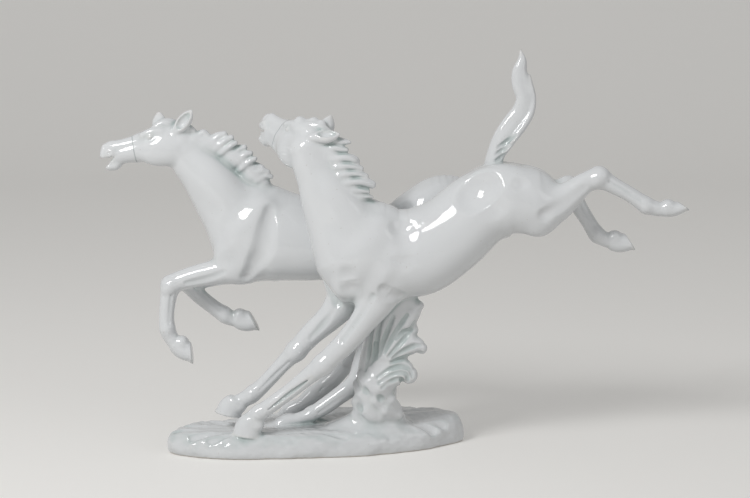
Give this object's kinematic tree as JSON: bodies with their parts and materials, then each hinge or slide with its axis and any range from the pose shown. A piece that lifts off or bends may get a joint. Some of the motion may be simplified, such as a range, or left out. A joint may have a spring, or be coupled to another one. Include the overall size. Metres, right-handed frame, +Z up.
{
  "type": "horse figurine",
  "caption": "Glazed porcelain figurine: a kicking horse and a leaping horse gallop side by side on a low rocky plinth; an ornament that stands on its flat foot.",
  "frame": {"origin": "middle of the plinth's flat foot, at the height of the surface that it stands on", "axes": "+X runs along the group from the horses' noses to their tails, +Y from the near horse to the far one, +Z is up"},
  "size_m": [0.3797, 0.0889, 0.2605],
  "materials": {
    "horse_glaze": "clear gloss glaze over white porcelain",
    "rock_glaze": "clear gloss glaze over white porcelain, pooled in the grooves"
  },
  "bodies": {
    "root": {"far_horse_forelock": "horse_glaze", "far_horse_head": "horse_glaze", "far_horse_left_ear": "horse_glaze", "far_horse_left_foreleg": "horse_glaze", "far_horse_left_hindleg": "horse_glaze", "far_horse_mane": "horse_glaze", "far_horse_muzzle": "horse_glaze", "far_horse_neck": "horse_glaze", "far_horse_right_ear": "horse_glaze", "far_horse_right_foreleg": "horse_glaze", "far_horse_right_hindleg": "horse_glaze", "far_horse_tail": "horse_glaze", "far_horse_torso": "horse_glaze", "near_horse_forelock": "horse_glaze", "near_horse_head": "horse_glaze", "near_horse_left_ear": "horse_glaze", "near_horse_left_foreleg": "horse_glaze", "near_horse_left_hindleg": "horse_glaze", "near_horse_mane": "horse_glaze", "near_horse_muzzle": "horse_glaze", "near_horse_neck": "horse_glaze", "near_horse_right_ear": "horse_glaze", "near_horse_right_foreleg": "horse_glaze", "near_horse_right_hindleg": "horse_glaze", "near_horse_tail": "horse_glaze", "near_horse_torso": "horse_glaze", "plinth": "rock_glaze", "support_tuft": "rock_glaze"}
  },
  "joints": []
}
